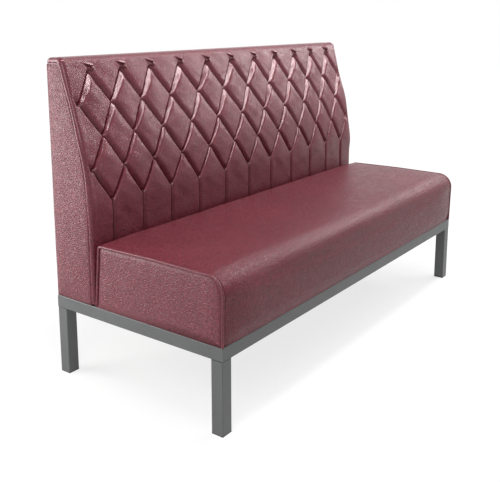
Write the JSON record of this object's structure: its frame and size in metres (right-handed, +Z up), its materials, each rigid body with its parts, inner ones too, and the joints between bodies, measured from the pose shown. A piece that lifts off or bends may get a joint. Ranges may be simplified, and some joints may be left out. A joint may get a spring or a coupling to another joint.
{
  "type": "restaurant booth seating",
  "caption": "Free-standing booth bench with a diamond-quilted leather backrest, a padded leather seat with piped ends and a square steel tube base.",
  "frame": {"origin": "on the floor under the middle of the bench", "axes": "+X along the bench, to the right seen from its front, -Y out of the front of the seat, +Y out of its rear, +Z up"},
  "size_m": [1.6, 0.6798, 1.012],
  "materials": {
    "frame_paint": "satin dark grey powder coat",
    "glide_plastic": "matt black",
    "fixing_steel": "zinc plated",
    "quilted_leather": "satin burgundy, fine grain, diamond quilted",
    "smooth_leather": "satin burgundy, fine grain",
    "piping_leather": "satin burgundy",
    "dust_cloth": "matt black non-woven cloth",
    "foam": "matt open-cell foam",
    "plywood": "raw birch plywood",
    "timber": "planed softwood"
  },
  "bodies": {
    "root": {"back_base_board": "timber", "back_bolts": "fixing_steel", "back_foam": "foam", "back_front_board": "plywood", "back_insert_nuts": "fixing_steel", "back_left_pad": "foam", "back_left_panel": "smooth_leather", "back_left_rib": "plywood", "back_mid_left_rib": "plywood", "back_mid_right_rib": "plywood", "back_quilted_cover": "quilted_leather", "back_rear_board": "plywood", "back_rear_cover": "smooth_leather", "back_right_pad": "foam", "back_right_panel": "smooth_leather", "back_right_rib": "plywood", "back_top_rail": "timber", "back_washers": "fixing_steel", "front_left_glide": "glide_plastic", "front_left_leg": "frame_paint", "front_rail": "frame_paint", "front_right_glide": "glide_plastic", "front_right_leg": "frame_paint", "left_cross_rail": "frame_paint", "left_rail": "frame_paint", "mounting_plates": "frame_paint", "rear_left_glide": "glide_plastic", "rear_left_leg": "frame_paint", "rear_rail": "frame_paint", "rear_right_glide": "glide_plastic", "rear_right_leg": "frame_paint", "right_cross_rail": "frame_paint", "right_rail": "frame_paint", "seat_bolts": "fixing_steel", "seat_cover": "smooth_leather", "seat_deck": "plywood", "seat_dust_cover": "dust_cloth", "seat_foam": "foam", "seat_front_batten": "timber", "seat_front_board": "plywood", "seat_insert_nuts": "fixing_steel", "seat_left_board": "plywood", "seat_left_divider": "plywood", "seat_left_pad": "foam", "seat_left_panel": "smooth_leather", "seat_left_piping": "piping_leather", "seat_rear_batten": "timber", "seat_rear_board": "plywood", "seat_right_board": "plywood", "seat_right_divider": "plywood", "seat_right_pad": "foam", "seat_right_panel": "smooth_leather", "seat_right_piping": "piping_leather", "seat_washers": "fixing_steel"}
  },
  "joints": []
}
